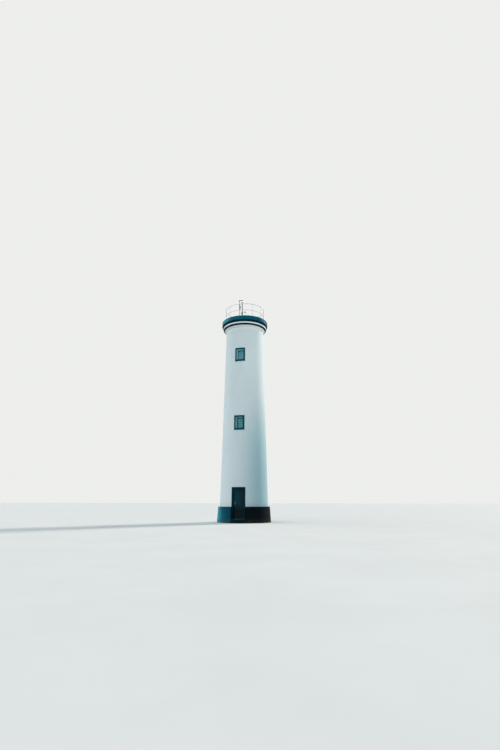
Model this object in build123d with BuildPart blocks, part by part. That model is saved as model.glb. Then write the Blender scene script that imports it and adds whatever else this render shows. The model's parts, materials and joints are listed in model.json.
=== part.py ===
from build123d import *
from math import cos, radians, sin
import os

# Round masonry lighthouse on a low painted plinth: three storeys, a cornice with a terrace,
# a railing and a slim lantern mast. Up is +Z, the doorway looks along -Y, and the origin is
# the centre of the base at ground level. All values are millimetres and degrees.

# Tower wall
ground_radius = 1817
wall_batter = 0.0212
inner_radius = 1150
shaft_height = 14890
splay_radius = 1655
splay_height = 140

# Plinth
plinth_height = 1110
plinth_foot_radius = 2000
plinth_top_radius = 1930
plinth_chamfer = 15

# Floors
threshold_height = 275
first_floor_level = 5600
second_floor_level = 11050
floor_thickness = 150
floor_bearing = 100

# Cornice and terrace
core_radius = 1450
corbel_radius = 1755
corbel_height = 110
corbel_lip = 20
strip_radius = 1770
strip_height = 150
band_radius = 1876
band_height = 460
band_cove_height = 140
band_chamfer = 18
terrace_thickness = 270
cove_depth = 14

# Doorway and its raised surround
doorway_width = 800
doorway_height = 2085
surround_band = 105
surround_relief = 25

# Door
door_setback = 170
jamb_width = 50
stop_width = 15
stop_depth = 25
door_gap = 5
threshold_gap = 8
leaf_thickness = 45
stile_width = 95
mullion_width = 80
panel_depth = 10
panel_field_height = 6
panel_field_inset = 28
panel_field_taper = 45
panel_row_shares = [0.56, 0.19, 0.25]

# Door hinges and handles
hinge_count = 3
knuckle_count = 3
hinge_height = 100
hinge_inset = 250
knuckle_radius = 7
pin_radius = 3
pin_play = 0.3
knuckle_play = 0.5
hinge_plate_width = 32
hinge_plate_thickness = 3
handle_height = 1080
handle_inset = 60
handle_plate_width = 40
handle_plate_height = 190
handle_plate_thickness = 4
lever_radius = 8
lever_length = 110
lever_reach = 46

# Windows
window_width = 540
window_height = 850
window_surround_band = 125
lower_window_centre = 7160
upper_window_centre = 12575
window_inset_from_room = 70
window_frame_depth = 60
window_frame_width = 45
glass_thickness = 6

# Railing
railing_radius = 1575
railing_height = 1142
post_count = 10
post_radius = 20
post_flange_radius = 55
post_flange_thickness = 10
top_rail_radius = 18
mid_rail_height = 597
mid_rail_radius = 16

# Lantern mast
mast_post_x = -230
side_post_x = -480
mast_height = 2420
mast_post_radius = 38
side_post_radius = 21
mast_flange_radius = 110
side_flange_radius = 70
mast_flange_thickness = 12
crossbar_height = 40
crossbar_width = 50
crossbar_overhang = 20
lantern_height = 200
lantern_foot_radius = 52
lantern_foot_height = 30
lantern_neck_radius = 36
lantern_lens_radius = 41
lantern_lens_height = 100
lantern_cap_radius = 50
lantern_cap_height = 14
lantern_crown_radius = 16
control_box_size = [110, 110, 390]
control_box_drop = 400
junction_box_size = [120, 80, 140]
junction_box_rise = 1090
side_box_size = [150, 90, 120]
side_box_rise = 1230
side_box_reach = 190
side_arm_radius = 13

# Angles of the wall's three segments, counted from +X; the doorway is at the front
front_angle = 270
segment_sweep = 120
front_strip_sweep = 60

# Levels worked out from the driving dimensions
door_top = threshold_height + doorway_height
splay_top = shaft_height + splay_height
corbel_top = splay_top + corbel_height
terrace_underside = corbel_top + strip_height
terrace_level = terrace_underside + terrace_thickness
band_top = terrace_underside + band_height
door_surround_width = doorway_width + 2 * surround_band
far = 2 * plinth_foot_radius


def wall_radius(height):
    return ground_radius - wall_batter * height


def radial_plane(angle):
    """Upright plane through the tower's axis: its x runs outward at the angle and its y runs up."""
    outward = (cos(radians(angle)), sin(radians(angle)), 0)
    across = (sin(radians(angle)), -cos(radians(angle)), 0)
    return Plane(origin=(0, 0, 0), x_dir=outward, z_dir=across)


def save(piece, name):
    piece.label = name
    export_step(piece, f"parts/{name}.step")


def ring_segment(outline, start, sweep):
    with BuildPart() as segment:
        with BuildSketch(radial_plane(start)):
            with BuildLine():
                Polyline(*outline, close=True)
            make_face()
        revolve(axis=Axis.Z, revolution_arc=sweep)
    return segment.part


def side_segment(outline, side, cutter):
    """Ring segment beside the opening at the front, cut back to the opening's edge."""
    start = front_angle - segment_sweep if side == "left" else front_angle
    with BuildPart() as segment:
        add(ring_segment(outline, start, segment_sweep))
        add(cutter, mode=Mode.SUBTRACT)
    return segment.part


def front_strip(outline, width, bottom, top):
    """Part of the ring at the front between two upright planes and two levels."""
    with BuildPart() as strip:
        add(ring_segment(outline, front_angle - front_strip_sweep / 2, front_strip_sweep))
        with BuildSketch(Plane.XY.offset(bottom)):
            with Locations((0, -far / 2)):
                Rectangle(width, far)
        extrude(amount=top - bottom, mode=Mode.INTERSECT)
    return strip.part


def front_box(width, bottom, top):
    """Box that cuts straight through the front wall."""
    with BuildPart() as box:
        with BuildSketch(Plane.XY.offset(bottom)):
            with Locations((0, -far / 2)):
                Rectangle(width, far)
        extrude(amount=top - bottom)
    return box.part


def storey_outline(bottom, top):
    """Section of a storey's wall with the seat of the floor above cut in its inner edge."""
    seat = inner_radius + floor_bearing
    return [
        (inner_radius, bottom),
        (wall_radius(bottom), bottom),
        (wall_radius(top), top),
        (seat, top),
        (seat, top - floor_thickness),
        (inner_radius, top - floor_thickness),
    ]


plinth_outline = [
    (inner_radius, 0),
    (plinth_foot_radius, 0),
    (plinth_top_radius, plinth_height - plinth_chamfer),
    (plinth_top_radius - plinth_chamfer, plinth_height),
    (inner_radius, plinth_height),
]
ground_outline = storey_outline(plinth_height, first_floor_level)
middle_outline = storey_outline(first_floor_level, second_floor_level)

# The top storey's wall splays out below the cornice
upper_outline = [
    (inner_radius, second_floor_level),
    (wall_radius(second_floor_level), second_floor_level),
    (wall_radius(shaft_height), shaft_height),
    (splay_radius, splay_top),
    (core_radius, splay_top),
    (core_radius, terrace_underside),
    (inner_radius, terrace_underside),
]

# Plinth
# The doorway passes through it, and the surround stands in a wider notch in its outer face.
notch_outline = [
    (wall_radius(0), 0),
    (far, 0),
    (far, plinth_height),
    (wall_radius(plinth_height), plinth_height),
]
with BuildPart() as doorway_cutter:
    add(front_strip(notch_outline, door_surround_width, 0, plinth_height))
    add(front_box(doorway_width, 0, plinth_height))

for side in ["left", "right"]:
    save(side_segment(plinth_outline, side, doorway_cutter.part), f"plinth_{side}")
save(ring_segment(plinth_outline, front_angle - 2 * segment_sweep, segment_sweep), "plinth_back")

# Doorstep
step_outline = [
    (inner_radius, 0),
    (plinth_foot_radius, 0),
    (plinth_foot_radius, threshold_height),
    (inner_radius, threshold_height),
]
with BuildPart() as doorstep:
    add(front_strip(step_outline, door_surround_width, 0, threshold_height))
    add(doorway_cutter.part, mode=Mode.INTERSECT)
doorstep.part.label = "doorstep"
export_step(doorstep.part, "parts/doorstep.step")

# Ground storey wall
ground_cutter = front_box(doorway_width, plinth_height, first_floor_level)
for side in ["left", "right"]:
    save(side_segment(ground_outline, side, ground_cutter), f"ground_wall_{side}")
save(ring_segment(ground_outline, front_angle - 2 * segment_sweep, segment_sweep), "ground_wall_back")
save(front_strip(ground_outline, doorway_width, door_top, first_floor_level), "wall_over_door")

# Middle and upper storey walls, each with its window
storeys = {
    "middle": (middle_outline, first_floor_level, second_floor_level, lower_window_centre, "lower"),
    "upper": (upper_outline, second_floor_level, terrace_underside, upper_window_centre, "upper"),
}
for storey, (outline, bottom, top, centre, window) in storeys.items():
    sill = centre - window_height / 2
    head = centre + window_height / 2
    window_cutter = front_box(window_width, bottom, top)
    for side in ["left", "right"]:
        save(side_segment(outline, side, window_cutter), f"{storey}_wall_{side}")
    save(ring_segment(outline, front_angle - 2 * segment_sweep, segment_sweep), f"{storey}_wall_back")
    save(front_strip(outline, window_width, bottom, sill), f"wall_under_{window}_window")
    save(front_strip(outline, window_width, head, top), f"wall_over_{window}_window")

# Floors
with BuildPart() as ground_floor:
    with BuildSketch():
        Circle(inner_radius)
    extrude(amount=threshold_height)
ground_floor.part.label = "ground_floor"
export_step(ground_floor.part, "parts/ground_floor.step")

for name, level in {"first_floor": first_floor_level, "second_floor": second_floor_level}.items():
    with BuildPart() as floor:
        with BuildSketch(Plane.XY.offset(level)):
            Circle(inner_radius + floor_bearing)
        extrude(amount=-floor_thickness)
    save(floor.part, name)

# Cornice corbel, hollowed below its lip
with BuildPart() as cornice_corbel:
    with BuildSketch(radial_plane(front_angle)):
        with BuildLine():
            foot = (splay_radius, splay_top)
            lip = (corbel_radius, corbel_top - corbel_lip)
            SagittaArc(foot, lip, -cove_depth)
            Polyline(lip, (corbel_radius, corbel_top), (core_radius, corbel_top), (core_radius, splay_top), foot)
        make_face()
    revolve(axis=Axis.Z)
cornice_corbel.part.label = "cornice_corbel"
export_step(cornice_corbel.part, "parts/cornice_corbel.step")

# Pale strip of the cornice
with BuildPart() as cornice_strip:
    with BuildSketch(Plane.XY.offset(corbel_top)):
        Circle(strip_radius)
        Circle(core_radius, mode=Mode.SUBTRACT)
    extrude(amount=strip_height)
cornice_strip.part.label = "cornice_strip"
export_step(cornice_strip.part, "parts/cornice_strip.step")

# Painted band of the cornice, which stands above the terrace as its kerb
with BuildPart() as cornice_band:
    with BuildSketch(radial_plane(front_angle)):
        with BuildLine():
            foot = (strip_radius, terrace_underside)
            lip = (band_radius, terrace_underside + band_cove_height)
            SagittaArc(foot, lip, -cove_depth)
            Polyline(
                lip,
                (band_radius, band_top - band_chamfer),
                (band_radius - band_chamfer, band_top),
                (core_radius, band_top),
                (core_radius, terrace_underside),
                foot,
            )
        make_face()
    revolve(axis=Axis.Z)
cornice_band.part.label = "cornice_band"
export_step(cornice_band.part, "parts/cornice_band.step")

with BuildPart() as terrace_slab:
    with BuildSketch(Plane.XY.offset(terrace_underside)):
        Circle(core_radius)
    extrude(amount=terrace_thickness)
terrace_slab.part.label = "terrace_slab"
export_step(terrace_slab.part, "parts/terrace_slab.step")


def surround(width, bottom, top, band, sides):
    """Raised band on the wall face round an opening; a window has it on four sides and a door on three."""
    outline = [
        (wall_radius(bottom), bottom),
        (wall_radius(bottom) + surround_relief, bottom),
        (wall_radius(top) + surround_relief, top),
        (wall_radius(top), top),
    ]
    with BuildPart() as frame:
        add(front_strip(outline, width + 2 * band, bottom, top))
        opening_bottom = bottom + band if sides == 4 else bottom
        add(front_box(width, opening_bottom, top - band), mode=Mode.SUBTRACT)
    return frame.part


# Door surround
save(surround(doorway_width, threshold_height, door_top + surround_band, surround_band, 3), "door_surround")

# Door frame, with a stop that the leaf closes against
frame_face = -(wall_radius(threshold_height) - door_setback)
leaf_face = frame_face + stop_depth + door_gap
room_face = leaf_face + leaf_thickness
leaf_width = doorway_width - 2 * (jamb_width + door_gap)
leaf_bottom = threshold_height + threshold_gap
leaf_top = door_top - jamb_width - door_gap
leaf_height = leaf_top - leaf_bottom

with BuildPart() as door_frame:
    with BuildSketch(Plane.XZ.offset(-room_face)):
        with Locations((0, threshold_height)):
            Rectangle(doorway_width, doorway_height, align=(Align.CENTER, Align.MIN))
            Rectangle(
                doorway_width - 2 * jamb_width,
                doorway_height - jamb_width,
                align=(Align.CENTER, Align.MIN),
                mode=Mode.SUBTRACT,
            )
    extrude(amount=room_face - frame_face)
    with BuildSketch(Plane.XZ.offset(-(frame_face + stop_depth))):
        with Locations((0, threshold_height)):
            Rectangle(doorway_width - 2 * jamb_width, doorway_height - jamb_width, align=(Align.CENTER, Align.MIN))
            Rectangle(
                doorway_width - 2 * (jamb_width + stop_width),
                doorway_height - jamb_width - stop_width,
                align=(Align.CENTER, Align.MIN),
                mode=Mode.SUBTRACT,
            )
    extrude(amount=stop_depth)
door_frame.part.label = "door_frame"
export_step(door_frame.part, "parts/door_frame.step")

# Door leaf: two columns of fielded panels in three rows, alike on both faces
panel_width = (leaf_width - 2 * stile_width - mullion_width) / 2
panel_space = leaf_height - (len(panel_row_shares) + 1) * stile_width
panels = []
panel_bottom = leaf_bottom + stile_width
for share in panel_row_shares:
    panel_height = share * panel_space
    for column in [-1, 1]:
        centre_x = column * (panel_width + mullion_width) / 2
        panels.append((centre_x, panel_bottom + panel_height / 2, panel_height))
    panel_bottom += panel_height + stile_width

with BuildPart() as door_leaf:
    with BuildSketch(Plane.XZ.offset(-room_face)):
        with Locations((0, leaf_bottom)):
            Rectangle(leaf_width, leaf_height, align=(Align.CENTER, Align.MIN))
    extrude(amount=leaf_thickness)
    for outward, face in [(-1, leaf_face), (1, room_face)]:
        face_plane = Plane(origin=(0, face, 0), x_dir=(-outward, 0, 0), z_dir=(0, outward, 0))
        with BuildSketch(face_plane):
            for centre_x, centre_z, panel_height in panels:
                with Locations((-outward * centre_x, centre_z)):
                    Rectangle(panel_width, panel_height)
        extrude(amount=-panel_depth, mode=Mode.SUBTRACT)
        with BuildSketch(face_plane.offset(-panel_depth)):
            for centre_x, centre_z, panel_height in panels:
                with Locations((-outward * centre_x, centre_z)):
                    Rectangle(panel_width - 2 * panel_field_inset, panel_height - 2 * panel_field_inset)
        extrude(amount=panel_field_height, taper=panel_field_taper)
door_leaf.part.label = "door_leaf"
export_step(door_leaf.part, "parts/door_leaf.step")

# Door hinges on the room side: the outer knuckles and pin are on the frame, the middle one on the leaf
hinge_x = leaf_width / 2 + door_gap / 2
hinge_y = room_face + knuckle_radius
hinge_levels = [
    leaf_bottom + hinge_inset + i * (leaf_height - 2 * hinge_inset) / (hinge_count - 1)
    for i in range(hinge_count)
]
knuckle_height = hinge_height / knuckle_count


def plate_corner(side):
    """Near lower corner of a hinge plate, clear of the knuckles."""
    return (hinge_x + side * (knuckle_radius + knuckle_play), room_face)


with BuildPart() as frame_hinges:
    for level in hinge_levels:
        with BuildSketch(Plane.XY.offset(level - hinge_height / 2)):
            with Locations(plate_corner(1)):
                Rectangle(hinge_plate_width, hinge_plate_thickness, align=(Align.MIN, Align.MIN))
            with Locations((hinge_x, hinge_y)):
                Circle(pin_radius)
        extrude(amount=hinge_height)
        for knuckle_foot in [level - hinge_height / 2, level + hinge_height / 2 - knuckle_height]:
            with BuildSketch(Plane.XY.offset(knuckle_foot)):
                with Locations((hinge_x, hinge_y)):
                    Circle(knuckle_radius)
                with Locations((hinge_x, room_face)):
                    Rectangle(
                        knuckle_radius + knuckle_play,
                        hinge_plate_thickness,
                        align=(Align.MIN, Align.MIN),
                    )
            extrude(amount=knuckle_height)
frame_hinges.part.label = "frame_hinges"
export_step(frame_hinges.part, "parts/frame_hinges.step")

with BuildPart() as leaf_hinges:
    for level in hinge_levels:
        with BuildSketch(Plane.XY.offset(level - hinge_height / 2)):
            with Locations(plate_corner(-1)):
                Rectangle(hinge_plate_width, hinge_plate_thickness, align=(Align.MAX, Align.MIN))
        extrude(amount=hinge_height)
        with BuildSketch(Plane.XY.offset(level - knuckle_height / 2 + knuckle_play)):
            with Locations((hinge_x, hinge_y)):
                Circle(knuckle_radius)
            with Locations((hinge_x, room_face)):
                Rectangle(
                    knuckle_radius + knuckle_play,
                    hinge_plate_thickness,
                    align=(Align.MAX, Align.MIN),
                )
            with Locations((hinge_x, hinge_y)):
                Circle(pin_radius + pin_play, mode=Mode.SUBTRACT)
        extrude(amount=knuckle_height - 2 * knuckle_play)
leaf_hinges.part.label = "leaf_hinges"
export_step(leaf_hinges.part, "parts/leaf_hinges.step")

# Door handles: a long plate and a lever on each face of the leaf
handle_x = -leaf_width / 2 + handle_inset
handle_z = threshold_height + handle_height
with BuildPart() as door_handles:
    for outward, face in [(-1, leaf_face), (1, room_face)]:
        face_plane = Plane(origin=(handle_x, face, handle_z), x_dir=(1, 0, 0), z_dir=(0, outward, 0))
        with BuildSketch(face_plane):
            Rectangle(handle_plate_width, handle_plate_height)
        extrude(amount=handle_plate_thickness)
        with BuildSketch(face_plane):
            Circle(lever_radius)
        extrude(amount=lever_reach + lever_radius)
        lever_start = (handle_x, face + outward * lever_reach, handle_z)
        with BuildSketch(Plane(origin=lever_start, x_dir=(0, 1, 0), z_dir=(1, 0, 0))):
            Circle(lever_radius)
        extrude(amount=lever_length)
door_handles.part.label = "door_handles"
export_step(door_handles.part, "parts/door_handles.step")

# Windows: raised surround, frame and pane
window_room_face = -(inner_radius + window_inset_from_room)
for name, centre in {"lower": lower_window_centre, "upper": upper_window_centre}.items():
    surround_bottom = centre - window_height / 2 - window_surround_band
    surround_top = centre + window_height / 2 + window_surround_band
    save(
        surround(window_width, surround_bottom, surround_top, window_surround_band, 4),
        f"{name}_window_surround",
    )

    pane_size = (window_width - 2 * window_frame_width, window_height - 2 * window_frame_width)
    with BuildPart() as window_frame:
        with BuildSketch(Plane.XZ.offset(-window_room_face)):
            with Locations((0, centre)):
                Rectangle(window_width, window_height)
                Rectangle(*pane_size, mode=Mode.SUBTRACT)
        extrude(amount=window_frame_depth)
    save(window_frame.part, f"{name}_window_frame")

    with BuildPart() as window_glass:
        with BuildSketch(Plane.XZ.offset(-window_room_face + window_frame_depth / 2)):
            with Locations((0, centre)):
                Rectangle(*pane_size)
        extrude(amount=glass_thickness / 2, both=True)
    save(window_glass.part, f"{name}_window_glass")

# Railing posts on the cornice band, one of them over the doorway
post_start = front_angle
with BuildPart() as railing_posts:
    with BuildSketch(Plane.XY.offset(band_top)):
        with PolarLocations(railing_radius, post_count, start_angle=post_start):
            Circle(post_flange_radius)
    extrude(amount=post_flange_thickness)
    with BuildSketch(Plane.XY.offset(band_top)):
        with PolarLocations(railing_radius, post_count, start_angle=post_start):
            Circle(post_radius)
    extrude(amount=railing_height + top_rail_radius)
railing_posts.part.label = "railing_posts"
export_step(railing_posts.part, "parts/railing_posts.step")


def rail_ring(level, radius):
    """Round rail between the posts; the posts interrupt it."""
    with BuildPart() as ring:
        with BuildSketch(radial_plane(front_angle)):
            with Locations((railing_radius, level)):
                Circle(radius)
        revolve(axis=Axis.Z)
        add(railing_posts.part, mode=Mode.SUBTRACT)
    return ring.part


save(rail_ring(band_top + railing_height, top_rail_radius), "top_rail")

save(rail_ring(band_top + mid_rail_height, mid_rail_radius), "mid_rail")

# Lantern mast: a stout post under the lantern, a slim one beside it and a bar across the top
mast_top = terrace_level + mast_height
bar_underside = mast_top - crossbar_height
lantern_foot = bar_underside - lantern_height


def mast_post(x, radius, flange_radius, top):
    with BuildPart() as post:
        with BuildSketch(Plane.XY.offset(terrace_level)):
            with Locations((x, 0)):
                Circle(flange_radius)
        extrude(amount=mast_flange_thickness)
        with BuildSketch(Plane.XY.offset(terrace_level)):
            with Locations((x, 0)):
                Circle(radius)
        extrude(amount=top - terrace_level)
    return post.part


save(mast_post(mast_post_x, mast_post_radius, mast_flange_radius, lantern_foot), "lantern_post")
save(mast_post(side_post_x, side_post_radius, side_flange_radius, bar_underside), "side_post")

with BuildPart() as mast_crossbar:
    with BuildSketch(Plane.XY.offset(bar_underside)):
        with Locations(((mast_post_x + side_post_x) / 2, 0)):
            bar_length = mast_post_x - side_post_x + 2 * (side_post_radius + crossbar_overhang)
            Rectangle(bar_length, crossbar_width)
    extrude(amount=crossbar_height)
mast_crossbar.part.label = "mast_crossbar"
export_step(mast_crossbar.part, "parts/mast_crossbar.step")

# Lantern: a flanged foot, a round lens and a domed cap, turned on the stout post's axis
lens_foot = lantern_foot + lantern_foot_height
lens_top = lens_foot + lantern_lens_height
cap_edge = lens_top + lantern_cap_height
with BuildPart() as lantern:
    with BuildSketch(Plane(origin=(mast_post_x, 0, 0), x_dir=(1, 0, 0), z_dir=(0, -1, 0))):
        with BuildLine():
            Polyline(
                (0, bar_underside),
                (0, lantern_foot),
                (lantern_foot_radius, lantern_foot),
                (lantern_neck_radius, lens_foot),
            )
            ThreePointArc(
                (lantern_neck_radius, lens_foot),
                (lantern_lens_radius, (lens_foot + lens_top) / 2),
                (lantern_neck_radius, lens_top),
            )
            Polyline(
                (lantern_neck_radius, lens_top),
                (lantern_cap_radius, lens_top),
                (lantern_cap_radius, cap_edge),
                (lantern_crown_radius, bar_underside),
                (0, bar_underside),
            )
        make_face()
    revolve(axis=Axis((mast_post_x, 0, 0), (0, 0, 1)))
lantern.part.label = "lantern"
export_step(lantern.part, "parts/lantern.step")

# Arm from the stout post to the side box
arm_level = terrace_level + side_box_rise + side_box_size[2] / 2
with BuildPart() as side_arm:
    with BuildSketch(Plane(origin=(mast_post_x, 0, arm_level), x_dir=(0, 1, 0), z_dir=(1, 0, 0))):
        Circle(side_arm_radius)
    extrude(amount=side_box_reach)
    with BuildSketch(Plane.XY.offset(arm_level - side_arm_radius)):
        with Locations((mast_post_x, 0)):
            Circle(mast_post_radius)
    extrude(amount=2 * side_arm_radius, mode=Mode.SUBTRACT)

# Boxes on the mast: a tall one beside the slim post, a small one in front of the stout post
# and another at the end of the arm
with BuildPart() as mast_boxes:
    control_width, control_depth, control_height = control_box_size
    with BuildSketch(Plane.XY.offset(mast_top - control_box_drop)):
        with Locations((side_post_x + side_post_radius, 0)):
            Rectangle(control_width, control_depth, align=(Align.MIN, Align.CENTER))
    extrude(amount=-control_height)
    junction_width, junction_depth, junction_height = junction_box_size
    with BuildSketch(Plane.XY.offset(terrace_level + junction_box_rise)):
        with Locations((mast_post_x, -mast_post_radius)):
            Rectangle(junction_width, junction_depth, align=(Align.CENTER, Align.MAX))
    extrude(amount=junction_height)
    side_width, side_depth, side_height = side_box_size
    with BuildSketch(Plane.XY.offset(terrace_level + side_box_rise)):
        with Locations((mast_post_x + side_box_reach, 0)):
            Rectangle(side_width, side_depth, align=(Align.MIN, Align.CENTER))
    extrude(amount=side_height)
    add(side_arm.part)
mast_boxes.part.label = "mast_boxes"
export_step(mast_boxes.part, "parts/mast_boxes.step")
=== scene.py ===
import json
from math import cos, pi, radians, sin

import bmesh
import bpy
from mathutils import Matrix, Vector


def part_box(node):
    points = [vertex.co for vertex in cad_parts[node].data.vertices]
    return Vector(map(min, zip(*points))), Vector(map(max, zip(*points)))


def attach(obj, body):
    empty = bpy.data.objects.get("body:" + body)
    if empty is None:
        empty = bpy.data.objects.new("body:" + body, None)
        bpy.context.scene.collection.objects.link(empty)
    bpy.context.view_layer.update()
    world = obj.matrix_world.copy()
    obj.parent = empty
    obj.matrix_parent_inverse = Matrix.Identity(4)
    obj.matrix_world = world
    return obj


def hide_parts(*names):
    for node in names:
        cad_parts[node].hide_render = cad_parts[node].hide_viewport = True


# Dressed model of a round white lighthouse. The frame gives the construction and every place;
# this script adds the finish of each surface and the small fittings. Lengths are metres.

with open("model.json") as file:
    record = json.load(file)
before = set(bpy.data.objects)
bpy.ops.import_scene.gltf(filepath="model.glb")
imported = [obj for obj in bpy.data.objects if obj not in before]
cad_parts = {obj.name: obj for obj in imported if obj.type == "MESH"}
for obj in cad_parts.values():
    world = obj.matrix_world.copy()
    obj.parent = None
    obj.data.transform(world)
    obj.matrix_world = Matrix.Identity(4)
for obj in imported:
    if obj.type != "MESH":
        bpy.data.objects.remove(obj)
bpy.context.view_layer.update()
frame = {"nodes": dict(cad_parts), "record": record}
nodes = frame["nodes"]


# Places read from the frame

def low(node):
    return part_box(node)[0]


def high(node):
    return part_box(node)[1]


def middle(node):
    return (low(node) + high(node)) / 2


plinth_top = high("plinth_back").z
threshold = high("doorstep").z
shaft_top = low("cornice_corbel").z
terrace_level = high("terrace_slab").z
band_foot = low("cornice_band").z
room_radius = high("ground_floor").x
wall_radius_foot = high("ground_wall_back").y
wall_radius_floor = high("middle_wall_back").y
batter = (wall_radius_foot - wall_radius_floor) / (low("middle_wall_back").z - plinth_top)


def wall_radius(height):
    return wall_radius_foot - batter * (height - plinth_top)


# Colours, as 8-bit screen values turned into the linear values that the shaders take

def paint(red, green, blue):
    def linear(value):
        share = value / 255
        return share / 12.92 if share <= 0.04045 else ((share + 0.055) / 1.055) ** 2.4

    return (linear(red), linear(green), linear(blue), 1.0)


def shade(colour, factor):
    return tuple(channel * factor for channel in colour[:3]) + (1.0,)


WALL_WHITE = paint(208, 219, 222)
WALL_GRIME = paint(132, 146, 146)
# Painted shade: cool, darker tone of the render's lower right side
WALL_PAINTED_SHADE = paint(180, 212, 217)
# Painted light: the lighter band on the render under the corbel
WALL_PAINTED_LIGHT = paint(232, 240, 242)
BAND_TEAL = paint(0, 89, 107)
# Painted light: the cornice band's lighter left side
BAND_PAINTED_LIGHT = paint(66, 140, 154)
PLINTH_TEAL = paint(0, 84, 105)
# Painted light: the plinth's lighter left side
PLINTH_PAINTED_LIGHT = paint(64, 158, 172)
# Dark plinth tone, also used as painted shade on the plinth right of the doorway
PLINTH_DARK_AND_SHADE = paint(6, 17, 23)
# Dark teal of the corbel, also used as painted shade in the band's cove and on the cornice strip
DARK_TEAL_AND_PAINTED_SHADE = paint(0, 38, 54)
SURROUND_TEAL = paint(0, 42, 54)
WINDOW_TEAL = paint(6, 66, 77)
# Painted light: pale cyan tone of white reveals lit by the sky
REVEAL_SKYLIGHT_TEAL = paint(190, 240, 246)
DOORSTEP_TEAL = paint(2, 32, 42)
DOOR_TEAL = paint(6, 56, 66)
# Darkest door tone: painted shade on the leaf, and partly painted shade in the doorway's reveals
DOOR_DARK_AND_SHADE = paint(3, 24, 32)
SASH_TEAL = paint(60, 142, 152)
GLASS_TEAL = paint(10, 172, 190)
CONCRETE = paint(168, 170, 166)
GALVANISED = paint(216, 220, 222)
AGED_ZINC = paint(124, 130, 132)
STEEL = paint(150, 152, 150)
HANDLE_STEEL = paint(112, 130, 132)
LANTERN_DARK = paint(44, 54, 58)
LENS_CLEAR = paint(214, 226, 228)
BOX_GREY = paint(52, 58, 62)
BOX_BLACK = paint(12, 16, 20)
BOX_PALE = paint(196, 202, 204)
GASKET_BLACK = paint(26, 28, 30)
SOIL = paint(70, 78, 72)
RUST = paint(120, 82, 54)


# Shader building blocks

# Margin by which a painted region takes in, or leaves out, the faces that lie on its edge
SKIN = 0.0005


def add_node(tree, kind, sockets=None, **settings):
    """New shader node. A socket's value is a plain value or the output that feeds it."""
    made = tree.nodes.new(kind)
    for key, value in settings.items():
        setattr(made, key, value)
    for key, value in (sockets or {}).items():
        if isinstance(value, bpy.types.NodeSocket):
            tree.links.new(value, made.inputs[key])
        else:
            made.inputs[key].default_value = value
    return made


def new_material(name, roughness, metallic=0.0, gloss=0.5):
    """Material, its node tree, its shader and the coordinates that its patterns lie in."""
    material = bpy.data.materials.new(name)
    material.use_nodes = True
    tree = material.node_tree
    shader = tree.nodes["Principled BSDF"]
    shader.inputs["Roughness"].default_value = roughness
    shader.inputs["Metallic"].default_value = metallic
    shader.inputs["Specular IOR Level"].default_value = gloss
    return material, tree, shader, add_node(tree, "ShaderNodeTexCoord").outputs["Object"]


def stretched(tree, coordinates, scale):
    """Coordinates multiplied along each axis, for grain and strokes."""
    made = add_node(tree, "ShaderNodeMapping", {"Vector": coordinates, "Scale": scale})
    return made.outputs["Vector"]


def noise(tree, coordinates, scale, detail=4.0, roughness=0.55):
    sockets = {"Vector": coordinates, "Scale": scale, "Detail": detail, "Roughness": roughness}
    return add_node(tree, "ShaderNodeTexNoise", sockets).outputs["Fac"]


def between(tree, value, low_end, high_end):
    """Value mapped so that low_end gives 0 and high_end gives 1, held within them."""
    sockets = {"Value": value, "From Min": low_end, "From Max": high_end}
    made = add_node(tree, "ShaderNodeMapRange", sockets, clamp=True, interpolation_type="SMOOTHSTEP")
    return made.outputs["Result"]


def patches(tree, at, scale, low_end, high_end, detail=5.0, roughness=0.6):
    """Noise turned into patches: 0 below low_end, 1 above high_end."""
    return between(tree, noise(tree, at, scale, detail, roughness), low_end, high_end)


def maths(tree, operation, first, second=0.0):
    return add_node(tree, "ShaderNodeMath", {0: first, 1: second}, operation=operation).outputs[0]


def times(tree, *shares):
    product = shares[0]
    for share in shares[1:]:
        product = maths(tree, "MULTIPLY", product, share)
    return product


def mix_colour(tree, share, first, second):
    return add_node(tree, "ShaderNodeMix", {0: share, 6: first, 7: second}, data_type="RGBA").outputs[2]


def bump(tree, height, strength, distance, normal=None):
    sockets = {"Height": height, "Strength": strength, "Distance": distance}
    if normal is not None:
        sockets["Normal"] = normal
    return add_node(tree, "ShaderNodeBump", sockets).outputs["Normal"]


def connect(tree, shader, colour, normal, roughness=None):
    """Feed the shader its colour and relief, and its roughness where that varies."""
    tree.links.new(colour, shader.inputs["Base Color"])
    tree.links.new(normal, shader.inputs["Normal"])
    if roughness is not None:
        tree.links.new(roughness, shader.inputs["Roughness"])


def split_axes(tree, coordinates):
    made = add_node(tree, "ShaderNodeSeparateXYZ", {"Vector": coordinates})
    return made.outputs["X"], made.outputs["Y"], made.outputs["Z"]


def angle_round(tree, axes):
    """Angle round the tower: 0 in front of the door, growing towards +X."""
    return maths(tree, "ARCTAN2", axes[0], times(tree, axes[1], -1.0))


def round_wall_coordinates(tree, axes, around, upward):
    """Coordinates that run round the tower and up it, so that rain runs stay upright."""
    along = times(tree, angle_round(tree, axes), around)
    sockets = {"X": along, "Y": 0.0, "Z": times(tree, axes[2], upward)}
    return add_node(tree, "ShaderNodeCombineXYZ", sockets).outputs["Vector"]


def worn_edges(tree, at, radius, grain_scale):
    """Share that is 1 along edges, broken up by noise, where paint rubs off first."""
    rounded = add_node(tree, "ShaderNodeBevel", {"Radius": radius}, samples=4).outputs["Normal"]
    flat = add_node(tree, "ShaderNodeNewGeometry").outputs["Normal"]
    agreement = add_node(tree, "ShaderNodeVectorMath", {0: rounded, 1: flat}, operation="DOT_PRODUCT")
    edge = between(tree, agreement.outputs["Value"], 0.985, 0.86)
    return times(tree, edge, patches(tree, at, grain_scale, 0.47, 0.60, 6.0, 0.7))


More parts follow.
